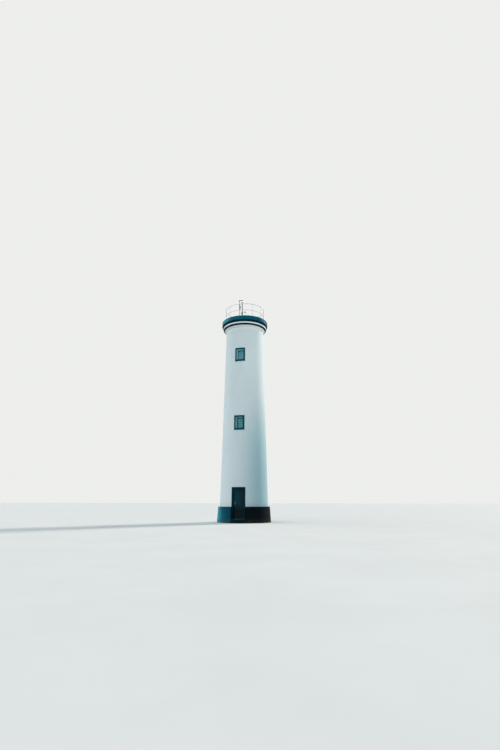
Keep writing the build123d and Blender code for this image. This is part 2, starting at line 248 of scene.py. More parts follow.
def inside_opening(tree, axes, filling):
    """Share that is 1 on a wall's faces inside the opening that the filling node closes."""
    return times(
        tree,
        maths(tree, "LESS_THAN", maths(tree, "ABSOLUTE", axes[0]), high(filling).x + SKIN),
        maths(tree, "LESS_THAN", axes[1], high(filling).y),
        maths(tree, "LESS_THAN", axes[2], high(filling).z + SKIN),
        maths(tree, "GREATER_THAN", axes[2], low(filling).z - SKIN),
    )


def room_side(tree, axes):
    """Share that is 1 on the plinth's faces towards the room and behind the door frame.
    The passage has no far end, so it also takes in the outside of the plinth opposite the door."""
    squares = maths(tree, "ADD", times(tree, axes[0], axes[0]), times(tree, axes[1], axes[1]))
    wall_margin = 0.01
    room = maths(tree, "LESS_THAN", maths(tree, "SQRT", squares), room_radius + wall_margin)
    passage = times(
        tree,
        maths(tree, "LESS_THAN", maths(tree, "ABSOLUTE", axes[0]), high("door_frame").x + SKIN),
        maths(tree, "GREATER_THAN", axes[1], high("door_frame").y),
    )
    return maths(tree, "MAXIMUM", room, passage)


# Materials

# Named heights are metres and angles are radians round the tower. The other numbers are noise scales,
# the noise levels where a patch starts and is full, shares of a layer, roughness and depths of relief.

def ragged_angle(tree, at, axes, scale, detail, depth):
    """Angle round the tower, pushed onwards by noise, for the ragged edges of painted light and painted
    shade.
    """
    push = times(tree, noise(tree, at, scale, detail, 0.6), depth)
    return maths(tree, "ADD", angle_round(tree, axes), push)


def render_white_material():
    """Painted lime render: faint clouds, upright rain runs, a splashed foot and a fine grain.
    It also carries painted shade: a cool, darker tint low on the right side, and dark teal on the cornice
    strip's top and foot.
    It carries painted light: a lighter band under the corbel, and a pale skylit tone in the window reveals.
    Its faces inside the doorway take the door's darkest tone, which is partly dark paint and partly painted
    shade."""
    rain_reach = 4.5
    drip_reach = 1.4
    drip_side_out, drip_side_in = 0.03, 0.14
    shade_start_height, side_shade_full_height = 9.5, 5.0
    splash_height = 0.40
    painted_light_reach = 0.42
    band_shadow_depth, corbel_shadow_depth = 0.027, 0.016
    material, tree, shader, at = new_material("white_render", 0.85, gloss=0.25)
    axes = split_axes(tree, at)

    colour = mix_colour(tree, patches(tree, at, 0.35, 0.36, 0.70), WALL_WHITE, shade(WALL_WHITE, 0.95))
    blotches = times(tree, patches(tree, at, 3.2, 0.54, 0.74, 6.0, 0.66), 0.40)
    colour = mix_colour(tree, blotches, colour, shade(WALL_WHITE, 0.88))

    runs = patches(tree, round_wall_coordinates(tree, axes, 11.0, 0.20), 1.6, 0.56, 0.76, 5.0, 0.65)
    below_cornice = between(tree, axes[2], shaft_top - rain_reach, shaft_top)
    run_share = maths(tree, "ADD", times(tree, below_cornice, 0.16), 0.06)
    colour = mix_colour(tree, times(tree, runs, run_share), colour, WALL_GRIME)

    streaks = patches(tree, round_wall_coordinates(tree, axes, 34.0, 0.5), 1.5, 0.44, 0.66)
    for surround in ("lower_window_surround", "upper_window_surround"):
        sill = low(surround).z
        side = high(surround).x
        drips = times(
            tree,
            streaks,
            between(tree, axes[2], sill - drip_reach, sill),
            maths(tree, "LESS_THAN", axes[2], sill),
            maths(tree, "LESS_THAN", axes[1], 0.0),
            between(tree, maths(tree, "ABSOLUTE", axes[0]), side + drip_side_out, side - drip_side_in),
        )
        colour = mix_colour(tree, times(tree, drips, 0.20), colour, WALL_GRIME)

    # Painted shade: the render's lower right side is tinted cool and darker, as if in shade
    ragged = ragged_angle(tree, at, axes, 0.9, 4.0, 0.5)
    painted_shade_side = times(
        tree,
        between(tree, ragged, 0.25, 1.25),
        between(tree, ragged, 2.7, 2.1),
        between(tree, axes[2], shade_start_height, side_shade_full_height),
    )
    colour = mix_colour(tree, painted_shade_side, colour, WALL_PAINTED_SHADE)

    foot = between(tree, axes[2], plinth_top + splash_height, plinth_top)
    splash = times(tree, foot, patches(tree, at, 7.0, 0.42, 0.66, 6.0, 0.65), 0.25)
    colour = mix_colour(tree, splash, colour, WALL_GRIME)

    # Painted light: a lighter band at the top of the shaft, lifting the shade under the corbel
    painted_shading = times(tree, between(tree, axes[2], shaft_top - painted_light_reach, shaft_top), 0.9)
    colour = mix_colour(tree, painted_shading, colour, WALL_PAINTED_LIGHT)

    # Painted shade: dark teal bands on the top and foot of the cornice strip, where the band and the corbel
    # overhang it
    strip_foot, strip_top = low("cornice_strip").z, high("cornice_strip").z
    band_shadow = maths(tree, "GREATER_THAN", axes[2], strip_top - band_shadow_depth)
    corbel_shadow = times(
        tree,
        maths(tree, "GREATER_THAN", axes[2], strip_foot),
        maths(tree, "LESS_THAN", axes[2], strip_foot + corbel_shadow_depth),
    )
    colour = mix_colour(tree, maths(tree, "MAXIMUM", band_shadow, corbel_shadow), colour, DARK_TEAL_AND_PAINTED_SHADE)

    # Painted light: the window reveals take a pale cyan tone that stands for white render lit by the sky
    for window in ("lower_window_frame", "upper_window_frame"):
        colour = mix_colour(tree, inside_opening(tree, axes, window), colour, REVEAL_SKYLIGHT_TEAL)
    # The doorway's reveals take the door's darkest tone: partly dark paint, partly painted shade in the
    # recess
    colour = mix_colour(tree, inside_opening(tree, axes, "door_frame"), colour, DOOR_DARK_AND_SHADE)

    hand = bump(tree, noise(tree, at, 2.4, 3.0, 0.5), 0.35, 0.02)
    strokes = noise(tree, stretched(tree, at, (9.0, 9.0, 17.0)), 1.0, 4.0, 0.6)
    trowelled = bump(tree, strokes, 0.35, 0.008, hand)
    grain = bump(tree, noise(tree, at, 70.0, 6.0, 0.7), 0.70, 0.004, trowelled)
    connect(tree, shader, colour, grain)
    return material


def masonry_paint_layers(tree, shader, at, axes, colour, tone):
    """Weathering over a base colour of masonry paint: runs, pinholes, worn edges, hand-laid relief."""
    runs = patches(tree, round_wall_coordinates(tree, axes, 14.0, 0.6), 1.8, 0.56, 0.76)
    colour = mix_colour(tree, times(tree, runs, 0.12), colour, shade(tone, 2.0))
    pinholes = patches(tree, at, 19.0, 0.690, 0.705, 7.0, 0.72)
    colour = mix_colour(tree, times(tree, pinholes, 0.50), colour, shade(WALL_WHITE, 0.50))
    edges = worn_edges(tree, at, 0.012, 14.0)
    colour = mix_colour(tree, times(tree, edges, 0.25), colour, shade(WALL_WHITE, 0.45))
    rough = maths(tree, "ADD", times(tree, noise(tree, at, 8.0), 0.30), 0.45)
    hand = bump(tree, noise(tree, at, 5.0, 3.0, 0.5), 0.40, 0.012)
    grain = bump(tree, noise(tree, at, 80.0, 5.0, 0.7), 0.60, 0.0035, hand)
    connect(tree, shader, colour, grain, rough)


def masonry_paint_material(name, tone):
    material, tree, shader, at = new_material(name, 0.6, gloss=0.05)
    broad = patches(tree, at, 1.3, 0.35, 0.70, 6.0)
    colour = mix_colour(tree, broad, shade(tone, 1.10), shade(tone, 0.78))
    masonry_paint_layers(tree, shader, at, split_axes(tree, at), colour, tone)
    return material


def band_paint_material():
    """Paint of the cornice band: lighter on its left side as painted light, with its cove in the darker
    corbel colour as painted shade.
    """
    cove_height = 0.140
    material, tree, shader, at = new_material("band_paint", 0.6, gloss=0.05)
    axes = split_axes(tree, at)
    broad = patches(tree, at, 1.3, 0.35, 0.70, 6.0)
    colour = mix_colour(tree, broad, shade(BAND_TEAL, 1.10), shade(BAND_TEAL, 0.80))
    ragged = ragged_angle(tree, at, axes, 1.4, 5.0, 0.3)
    # Painted light: the band's left side is lightened, as if lit from the left
    fading_and_painted_light = times(tree, between(tree, ragged, -0.05, -0.75), between(tree, ragged, -2.6, -1.9))
    colour = mix_colour(tree, fading_and_painted_light, colour, BAND_PAINTED_LIGHT)
    # Painted shade: the band's cove takes the dark corbel colour, as if in shadow
    painted_cove_shade = maths(tree, "LESS_THAN", axes[2], band_foot + cove_height - SKIN)
    colour = mix_colour(tree, painted_cove_shade, colour, DARK_TEAL_AND_PAINTED_SHADE)
    masonry_paint_layers(tree, shader, at, axes, colour, BAND_TEAL)
    return material


def plinth_paint_material():
    """Plinth paint: lightened left of the doorway as painted light, darkened right of it as painted shade,
    soiled at its foot.
    """
    soil_height = 0.42
    material, tree, shader, at = new_material("plinth_paint", 0.6, gloss=0.05)
    axes = split_axes(tree, at)
    ragged = ragged_angle(tree, at, axes, 1.4, 5.0, 0.4)
    # Painted light: the plinth's left side is lightened, as if lit from the left
    fading_and_painted_light = times(tree, between(tree, ragged, -0.35, -1.00), between(tree, ragged, -2.6, -1.9))
    colour = mix_colour(tree, fading_and_painted_light, PLINTH_TEAL, PLINTH_PAINTED_LIGHT)
    # Painted shade: the plinth right of the doorway is darkened, as if in shade
    painted_shade_side = times(tree, between(tree, ragged, -0.65, 0.45), between(tree, ragged, 2.6, 2.1))
    colour = mix_colour(tree, painted_shade_side, colour, PLINTH_DARK_AND_SHADE)
    broad = patches(tree, at, 1.3, 0.40, 0.72, 6.0)
    colour = mix_colour(tree, times(tree, broad, 0.30), colour, shade(PLINTH_DARK_AND_SHADE, 0.8))
    foot = between(tree, axes[2], soil_height, 0.0)
    soil = times(tree, foot, patches(tree, at, 6.0, 0.34, 0.66, 6.0, 0.65), 0.50)
    colour = mix_colour(tree, soil, colour, SOIL)
    # The doorway's reveals take the door's darkest tone: partly dark paint, partly painted shade in the
    # recess
    colour = mix_colour(tree, inside_opening(tree, axes, "door_frame"), colour, DOOR_DARK_AND_SHADE)
    colour = mix_colour(tree, room_side(tree, axes), colour, WALL_WHITE)
    masonry_paint_layers(tree, shader, at, axes, colour, PLINTH_DARK_AND_SHADE)
    return material


def doorstep_material():
    """Dark painted step, trodden pale along its tread."""
    tread_margin = 0.002
    material, tree, shader, at = new_material("doorstep_paint", 0.6, gloss=0.05)
    axes = split_axes(tree, at)
    tread = maths(tree, "GREATER_THAN", axes[2], threshold - tread_margin)
    trodden = times(tree, tread, patches(tree, at, 5.0, 0.38, 0.62, 6.0), 0.30)
    colour = mix_colour(tree, trodden, DOORSTEP_TEAL, shade(CONCRETE, 0.6))
    masonry_paint_layers(tree, shader, at, axes, colour, DOORSTEP_TEAL)
    return material


def concrete_material():
    material, tree, shader, at = new_material("concrete", 0.88)
    colour = mix_colour(tree, patches(tree, at, 1.1, 0.32, 0.70, 6.0), CONCRETE, shade(CONCRETE, 0.66))
    pores = times(tree, patches(tree, at, 42.0, 0.62, 0.72, 4.0, 0.7), 0.5)
    colour = mix_colour(tree, pores, colour, shade(CONCRETE, 0.4))
    connect(tree, shader, colour, bump(tree, noise(tree, at, 55.0, 6.0, 0.7), 0.4, 0.003))
    return material


def painted_wood_material(name, tone, painted_shade_tone=None):
    """Paint over upright timber grain: rubbed lighter streaks, faded patches, chips along the edges.
    Its last argument, a darker tone, darkens the door's paint towards its foot and its hinge side: painted
    shade."""
    chip_colour, edge_colour = paint(104, 100, 86), paint(104, 108, 100)
    shade_start_height, foot_shade_full_height = 1.20, 0.55
    lit_x, shaded_x = -0.20, 0.34
    material, tree, shader, at = new_material(name, 0.50, gloss=0.08)
    grain = noise(tree, stretched(tree, at, (38.0, 38.0, 1.6)), 1.0, 6.0, 0.6)
    colour = mix_colour(tree, between(tree, grain, 0.46, 0.70), tone, shade(tone, 1.35))
    fading_and_painted_light = times(tree, patches(tree, at, 2.2, 0.45, 0.72), 0.25)
    colour = mix_colour(tree, fading_and_painted_light, colour, shade(tone, 1.6))
    if painted_shade_tone is not None:
        # Painted shade: the leaf darkens towards its foot and towards its right side
        x, _, z = split_axes(tree, at)
        foot_shade = between(tree, z, threshold + shade_start_height, threshold + foot_shade_full_height)
        painted_shading = times(tree, between(tree, x, lit_x, shaded_x), 0.65)
        colour = mix_colour(tree, maths(tree, "MAXIMUM", foot_shade, painted_shading), colour, painted_shade_tone)
    chips = patches(tree, stretched(tree, at, (60.0, 60.0, 22.0)), 1.0, 0.700, 0.715, 6.0, 0.7)
    colour = mix_colour(tree, times(tree, chips, 0.5), colour, chip_colour)
    edges = worn_edges(tree, at, 0.003, 40.0)
    colour = mix_colour(tree, times(tree, edges, 0.35), colour, edge_colour)
    connect(tree, shader, colour, bump(tree, grain, 0.22, 0.0025))
    return material


def zinc_material(name, tone, roughness, metallic):
    """Hot-dip zinc: spangle in flat grey cells, dull patches and a few rust freckles."""
    material, tree, shader, at = new_material(name, roughness, metallic, gloss=0.2)
    cells = add_node(tree, "ShaderNodeTexVoronoi", {"Vector": at, "Scale": 70.0}).outputs["Color"]
    spangle = add_node(tree, "ShaderNodeSeparateColor", {"Color": cells}).outputs[0]
    colour = mix_colour(tree, spangle, shade(tone, 0.82), tone)
    dull = times(tree, patches(tree, at, 4.0, 0.45, 0.70), 0.5)
    colour = mix_colour(tree, dull, colour, shade(tone, 0.66))
    rust = times(tree, patches(tree, at, 33.0, 0.70, 0.76, 6.0, 0.72), 0.55)
    colour = mix_colour(tree, rust, colour, RUST)
    rough = maths(tree, "ADD", times(tree, spangle, 0.16), roughness - 0.08)
    connect(tree, shader, colour, bump(tree, noise(tree, at, 120.0, 3.0), 0.12, 0.001), rough)
    return material


def painted_metal_material(name, tone, roughness):
    material, tree, shader, at = new_material(name, roughness, gloss=0.3)
    colour = mix_colour(tree, patches(tree, at, 9.0, 0.40, 0.72), tone, shade(tone, 1.5))
    rust = times(tree, patches(tree, at, 55.0, 0.70, 0.74, 6.0, 0.72), 0.6)
    colour = mix_colour(tree, rust, colour, RUST)
    edges = times(tree, worn_edges(tree, at, 0.003, 60.0), 0.5)
    colour = mix_colour(tree, edges, colour, shade(STEEL, 0.5))
    connect(tree, shader, colour, bump(tree, noise(tree, at, 160.0, 3.0), 0.15, 0.0008))
    return material


def brushed_steel_material(name, tone):
    material, tree, shader, at = new_material(name, 0.36, 0.9)
    lines = noise(tree, stretched(tree, at, (14.0, 14.0, 420.0)), 1.0, 3.0, 0.6)
    colour = mix_colour(tree, between(tree, lines, 0.35, 0.7), tone, shade(tone, 0.7))
    stains = times(tree, patches(tree, at, 30.0, 0.58, 0.72, 5.0, 0.7), 0.45)
    colour = mix_colour(tree, stains, colour, shade(tone, 0.35))
    connect(tree, shader, colour, bump(tree, lines, 0.10, 0.0004))
    return material


def glass_material(name, tone, transmission, roughness):
    """Old float glass, a little wavy and dusty."""
    material, tree, shader, at = new_material(name, roughness)
    colour = mix_colour(tree, patches(tree, at, 7.0, 0.40, 0.75), tone, shade(tone, 0.78))
    shader.inputs["Transmission Weight"].default_value = transmission
    shader.inputs["IOR"].default_value = 1.5
    connect(tree, shader, colour, bump(tree, noise(tree, at, 5.0, 2.0), 0.05, 0.004))
    return material


MATERIALS = {
    "white_render": render_white_material(),
    "plinth_paint": plinth_paint_material(),
    "doorstep_paint": doorstep_material(),
    "blue_paint": band_paint_material(),
    # The corbel's dark teal is partly its own paint and partly painted shade under the cornice strip
    "dark_paint": masonry_paint_material("corbel_paint", DARK_TEAL_AND_PAINTED_SHADE),
    "surround_paint": masonry_paint_material("surround_paint", SURROUND_TEAL),
    "window_surround_paint": masonry_paint_material("window_surround_paint", WINDOW_TEAL),
    "concrete": concrete_material(),
    "door_paint": painted_wood_material("door_paint", DOOR_TEAL, DOOR_DARK_AND_SHADE),
    "window_paint": painted_wood_material("sash_paint", SASH_TEAL),
    "glass": glass_material("window_glass", GLASS_TEAL, 0.20, 0.06),
    "lens": glass_material("lens_glass", LENS_CLEAR, 0.85, 0.03),
    "galvanised": zinc_material("galvanised", GALVANISED, 0.46, 0.35),
    "aged_zinc": zinc_material("aged_zinc", AGED_ZINC, 0.70, 0.10),
    "hardware": brushed_steel_material("brushed_steel", STEEL),
    "handle": brushed_steel_material("handle_steel", HANDLE_STEEL),
    "lantern_paint": painted_metal_material("lantern_paint", LANTERN_DARK, 0.42),
    "box_paint": painted_metal_material("box_grey", BOX_GREY, 0.45),
    "box_black": painted_metal_material("box_black", BOX_BLACK, 0.50),
    "box_pale": painted_metal_material("box_pale", BOX_PALE, 0.50),
    "gasket": painted_metal_material("gasket", GASKET_BLACK, 0.60),
}

FINISH_BY_NODE = {
    "plinth_left": "plinth_paint",
    "plinth_right": "plinth_paint",
    "plinth_back": "plinth_paint",
    "doorstep": "doorstep_paint",
    "side_post": "aged_zinc",
    "lower_window_surround": "window_surround_paint",
    "upper_window_surround": "window_surround_paint",
}
for row in frame["record"]["subparts"]:
    slots = nodes[row["node"]].data.materials
    slots.clear()
    slots.append(MATERIALS[FINISH_BY_NODE.get(row["node"], row["material_slot"])])


# Mesh building blocks

# Bolt heads as (width across the corners, height), and radii of screw heads
LARGE_BOLT = (0.016, 0.009)
SMALL_BOLT = (0.013, 0.007)
ROD_NUT = (0.0075, 0.005)
HANDLE_SCREW = 0.0036
HINGE_SCREW = 0.0042
CLAMP_SCREW = 0.0045
LID_SCREW = 0.0048


def add_block(shape, lowest, highest, bevel):
    """Block with rounded edges between two corners."""
    size = Vector(highest) - Vector(lowest)
    centre = (Vector(highest) + Vector(lowest)) / 2
    corners = bmesh.ops.create_cube(shape, size=1.0)["verts"]
    for corner in corners:
        corner.co = centre + Vector([share * side for share, side in zip(corner.co, size)])
    edges = list(dict.fromkeys(edge for corner in corners for edge in corner.link_edges))
    bmesh.ops.bevel(shape, geom=edges, offset=bevel, segments=2, affect="EDGES", profile=0.5)


def add_turned(shape, profile, origin, axis=(0, 0, 1), steps=24, hollow=False):
    """Solid turned on an axis. Profile rows are (radius, distance along the axis); a hollow one is a ring."""
    turn = Vector((0, 0, 1)).rotation_difference(Vector(axis)).to_matrix()
    rings = []
    for radius, rise in profile:
        around = steps if radius > 0 else 1
        angles = [2 * pi * i / steps for i in range(around)]
        rings.append([
            shape.verts.new(Vector(origin) + turn @ Vector((radius * cos(a), radius * sin(a), rise)))
            for a in angles
        ])
    pairs = list(zip(rings, rings[1:]))
    if hollow:
        pairs.append((rings[-1], rings[0]))
    for lower, upper in pairs:
        for i in range(steps):
            j = (i + 1) % steps
            corners = [lower[k % len(lower)] for k in (i, j)] + [upper[k % len(upper)] for k in (j, i)]
            shape.faces.new(list(dict.fromkeys(corners)))


def disc(radius, thickness):
    """Profile of a flat disc."""
    return ((0, 0), (radius, 0), (radius, thickness), (0, thickness))


def add_strip(shape, here, there):
    """Faces between two closed loops of as many vertices."""
    for j in range(len(here)):
        k = (j + 1) % len(here)
        shape.faces.new((here[j], here[k], there[k], there[j]))


def layer(face, outward, near, far):
    """Both ends of a layer that lies between two distances out from a face, the lower one first."""
    return sorted((face + outward * near, face + outward * far))


def add_moulding(shape, opening, face, outward, profile):
    """Mitred moulding round the inside of an upright rectangle (left, right, foot, head).
    Profile rows are (distance in from the rectangle's edge, rise off the face)."""
    left, right, foot, head = opening
    corners = ((left, foot, 1, 1), (right, foot, -1, 1), (right, head, -1, -1), (left, head, 1, -1))
    rings = []
    for x, z, side, up in corners:
        points = [(x + side * inset, face + outward * rise, z + up * inset) for inset, rise in profile]
        rings.append([shape.verts.new(point) for point in points])
    for here, there in zip(rings, rings[1:] + rings[:1]):
        add_strip(shape, here, there)


def add_extruded(shape, outline, left, right):
    """Bar along x whose section is an outline of (y, z) points."""
    ends = [[shape.verts.new((x, y, z)) for y, z in outline] for x in (left, right)]
    for end in ends:
        shape.faces.new(end)
    add_strip(shape, *ends)


def add_tube(shape, points, radius, steps=16):
    """Round bar along a path, closed at both ends."""
    points = [Vector(point) for point in points]
    turns = [2 * pi * j / steps for j in range(steps)]
    across = None
    rings = []
    for i, point in enumerate(points):
        ahead = points[min(i + 1, len(points) - 1)] - points[max(i - 1, 0)]
        ahead.normalize()
        across = ahead.orthogonal() if across is None else across - ahead * across.dot(ahead)
        across.normalize()
        other = ahead.cross(across)
        rings.append([shape.verts.new(point + radius * (cos(a) * across + sin(a) * other)) for a in turns])
    for here, there in zip(rings, rings[1:]):
        add_strip(shape, here, there)
    shape.faces.new(rings[0])
    shape.faces.new(rings[-1])


def add_bolt(shape, seat, axis, bolt):
    """Washer and hexagon head seated at a point."""
    across, height = bolt
    head = across / 2
    add_turned(shape, disc(head * 1.25, height * 0.18), seat, axis, 20)
    hexagon = ((0, 0), (head, 0), (head, height * 0.86), (head * 0.82, height), (0, height))
    add_turned(shape, hexagon, seat, axis, 6)


def add_screw(shape, seat, axis, radius):
    """Domed screw head seated at a point."""
    dome = ((0, 0), (1, 0), (0.92, 0.28), (0.5, 0.5), (0, 0.56))
    add_turned(shape, [(radius * out, radius * rise) for out, rise in dome], seat, axis, 16)


def add_object(name, data):
    """Object in the scene that holds a mesh, a lamp or the camera."""
    made = bpy.data.objects.new(name, data)
    bpy.context.scene.collection.objects.link(made)
    return made


def new_piece(name, shape, finish, body):
    """Object made of a bmesh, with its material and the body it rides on."""
    bmesh.ops.recalc_face_normals(shape, faces=shape.faces)
    mesh = bpy.data.meshes.new(name)
    shape.to_mesh(mesh)
    shape.free()
    mesh.shade_smooth()
    mesh.set_sharp_from_angle(angle=radians(33))
    mesh.materials.append(MATERIALS[finish])
    piece = add_object(name, mesh)
    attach(piece, body)
    return piece


# Door

STILE = 0.095
MULLION = 0.080
PANEL_ROWS = (0.56, 0.19, 0.25)
PANEL_DEPTH = 0.010
leaf_low, leaf_high = low("door_leaf"), high("door_leaf")


def door_panels():
    """Panels of the leaf as (left, right, foot, head), from the lowest row up."""
    width = (leaf_high.x - leaf_low.x - 2 * STILE - MULLION) / 2
    space = leaf_high.z - leaf_low.z - (len(PANEL_ROWS) + 1) * STILE
    foot = leaf_low.z + STILE
    panels = []
    for share in PANEL_ROWS:
        head = foot + share * space
        for left in (leaf_low.x + STILE, leaf_high.x - STILE - width):
            panels.append((left, left + width, foot, head))
        foot = head + STILE
    return panels


def add_door_mouldings():
    profile = (
        (-0.0002, 0.0), (-0.0002, 0.0112), (0.0030, 0.0130), (0.0062, 0.0118),
        (0.0088, 0.0086), (0.0108, 0.0056), (0.0140, 0.0038), (0.0160, 0.0036), (0.0160, 0.0),
    )
    shape = bmesh.new()
    for face, outward in ((leaf_low.y + PANEL_DEPTH, -1), (leaf_high.y - PANEL_DEPTH, 1)):
        for panel in door_panels():
            add_moulding(shape, panel, face, outward, profile)
    new_piece("door_panel_mouldings", shape, "door_paint", "door")


def add_weather_bar():
    """Sloped bar across the foot of the leaf that throws rain clear of the threshold."""
    foot_gap, side_gap = 0.018, 0.023
    foot = leaf_low.z + foot_gap
    side = leaf_high.x - side_gap
    section = (
        (0, 0), (0.006, 0), (0.010, 0.004), (0.016, 0), (0.024, 0), (0.027, 0.004),
        (0.026, 0.012), (0.008, 0.036), (0.003, 0.044), (0, 0.045),
    )
    shape = bmesh.new()
    add_extruded(shape, [(leaf_low.y - out, foot + rise) for out, rise in section], -side, side)
    new_piece("weather_bar", shape, "door_paint", "door")


def add_threshold_bar():
    """Worn metal bar let into the step under the leaf."""
    side = high("door_frame").x - 0.051
    lowest = (-side, leaf_low.y - 0.020, threshold - 0.001)
    highest = (side, leaf_high.y - 0.004, threshold + 0.0025)
    shape = bmesh.new()
    add_block(shape, lowest, highest, 0.001)
    new_piece("threshold_bar", shape, "hardware", "tower")


def add_door_handles():
    """Plate, return lever and keyhole on each face of the leaf."""
    width, tall, thick = 0.040, 0.190, 0.004
    reach = leaf_low.y - low("door_handles").y - 0.008
    lever_radius, lever_length, lever_return = 0.0078, 0.100, 0.024
    bend = 0.014
    bend_turns = [pi / 2 * step / 5 for step in range(1, 6)]
    keyhole_drop = 0.060
    screw_inset = 0.012
    rose = (
        (0, 0), (0.0165, 0), (0.0165, 0.003), (0.0145, 0.005), (0.0105, 0.006), (0.0105, 0.012), (0, 0.012),
    )
    keyhole_ring = ((0.0052, 0), (0.0098, 0), (0.0098, 0.0016), (0.0086, 0.0026), (0.0052, 0.0026))
    centre_x = low("door_handles").x + width / 2
    centre_z = middle("door_handles").z
    left, right = centre_x - width / 2, centre_x + width / 2
    tip = centre_x + lever_length
    shape = bmesh.new()
    for face, outward in ((leaf_low.y, -1), (leaf_high.y, 1)):
        axis = (0, outward, 0)
        near, far = layer(face, outward, 0, thick)
        add_block(shape, (left, near, centre_z - tall / 2), (right, far, centre_z + tall / 2), 0.0012)
        plate = face + outward * thick
        add_turned(shape, rose, (centre_x, plate, centre_z), axis, 32)
        out = face + outward * reach
        path = [(centre_x, plate), (centre_x, out - outward * bend)]
        path += [(centre_x + bend * (1 - cos(a)), out - outward * bend * (1 - sin(a))) for a in bend_turns]
        path.append((tip - bend, out))
        path += [(tip - bend + bend * sin(a), out - outward * bend * (1 - cos(a))) for a in bend_turns]
        path.append((tip, out - outward * lever_return))
        add_tube(shape, [(x, y, centre_z) for x, y in path], lever_radius)
        keyhole = (centre_x, plate, centre_z - keyhole_drop)
        add_turned(shape, keyhole_ring, keyhole, axis, 28, hollow=True)
        add_turned(shape, disc(0.0048, 0.0012), keyhole, axis, 20)
        for rise in (screw_inset - tall / 2, tall / 2 - screw_inset):
            add_screw(shape, (centre_x, plate, centre_z + rise), axis, HANDLE_SCREW)
    piece = new_piece("door_handle_set", shape, "handle", "door")
    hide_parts("door_handles")


def add_hinge_screws():
    """Four screws in each hinge plate, on the leaf and on the frame."""
    hinge_height = 0.100
    plate_thickness = 0.003
    half_plate = 0.016
    stagger = 0.007
    screw_rises = (-0.038, -0.013, 0.013, 0.038)
    lowest, highest = low("frame_hinges").z, high("frame_hinges").z
    levels = (lowest + hinge_height / 2, (lowest + highest) / 2, highest - hinge_height / 2)
    plate_face = leaf_high.y + plate_thickness
    plates = {"door": low("leaf_hinges").x + half_plate, "tower": high("frame_hinges").x - half_plate}
    for body, centre_x in plates.items():
        shape = bmesh.new()
        for level in levels:
            for i, rise in enumerate(screw_rises):
                sideways = stagger if i % 2 else -stagger
                add_screw(shape, (centre_x + sideways, plate_face, level + rise), (0, 1, 0), HINGE_SCREW)
        new_piece(f"hinge_screws_{body}", shape, "hardware", body)


add_door_mouldings()
add_weather_bar()
add_threshold_bar()
add_door_handles()
add_hinge_screws()


# Windows

PANE_COLUMNS = 2
PANE_ROWS = 4


def add_window_sash(window):
    """Mitred sash beads and glazing bars on both sides of the pane."""
    pane_low, pane_high = low(f"{window}_window_glass"), high(f"{window}_window_glass")
    pane = pane_high - pane_low
    bead = ((-0.0005, 0.0), (-0.0005, 0.019), (0.018, 0.019), (0.022, 0.016), (0.030, 0.006), (0.030, 0.0))
    half_bar = 0.011
    end = 0.020
    shape = bmesh.new()
    for face, outward in ((pane_low.y, -1), (pane_high.y, 1)):
        add_moulding(shape, (pane_low.x, pane_high.x, pane_low.z, pane_high.z), face, outward, bead)
        near, far = layer(face, outward, -0.0005, 0.014)
        for column in range(1, PANE_COLUMNS):
            x = pane_low.x + pane.x * column / PANE_COLUMNS
            lowest = (x - half_bar, near, pane_low.z + end)
            add_block(shape, lowest, (x + half_bar, far, pane_high.z - end), 0.004)
        near, far = layer(face, outward, -0.0005, 0.0125)
        for row in range(1, PANE_ROWS):
            z = pane_low.z + pane.z * row / PANE_ROWS
            lowest = (pane_low.x + end, near, z - half_bar)
            add_block(shape, lowest, (pane_high.x - end, far, z + half_bar), 0.004)
    new_piece(f"{window}_window_sash", shape, "window_paint", "tower")


def add_window_sill(window):
    """Sloped sill in the foot of the reveal, flush with the face of the surround."""
    foot = low(f"{window}_window_frame").z
    side = high(f"{window}_window_frame").x
    inner = low(f"{window}_window_frame").y
    outer = -(wall_radius(foot) + 0.014)
    outline = (
        (inner, foot), (inner, foot + 0.034), (outer + 0.006, foot + 0.012),
        (outer, foot + 0.008), (outer, foot),
    )
    shape = bmesh.new()
    add_extruded(shape, outline, -side, side)
    new_piece(f"{window}_window_sill", shape, "window_surround_paint", "tower")


add_window_sash("lower")
add_window_sash("upper")
add_window_sill("lower")
add_window_sill("upper")


# Railing

POSTS = 10
POST_RADIUS = 0.020
top_rail_z = middle("top_rail").z
mid_rail_z = middle("mid_rail").z
top_rail_radius = (high("top_rail").z - low("top_rail").z) / 2
mid_rail_radius = (high("mid_rail").z - low("mid_rail").z) / 2
rail_circle = high("top_rail").x - top_rail_radius


def post_places():
    """Outward and sideways directions of each railing post, the first one over the doorway."""
    for i in range(POSTS):
        turn = 2 * pi * i / POSTS
        yield Vector((sin(turn), -cos(turn), 0)), Vector((cos(turn), sin(turn), 0))


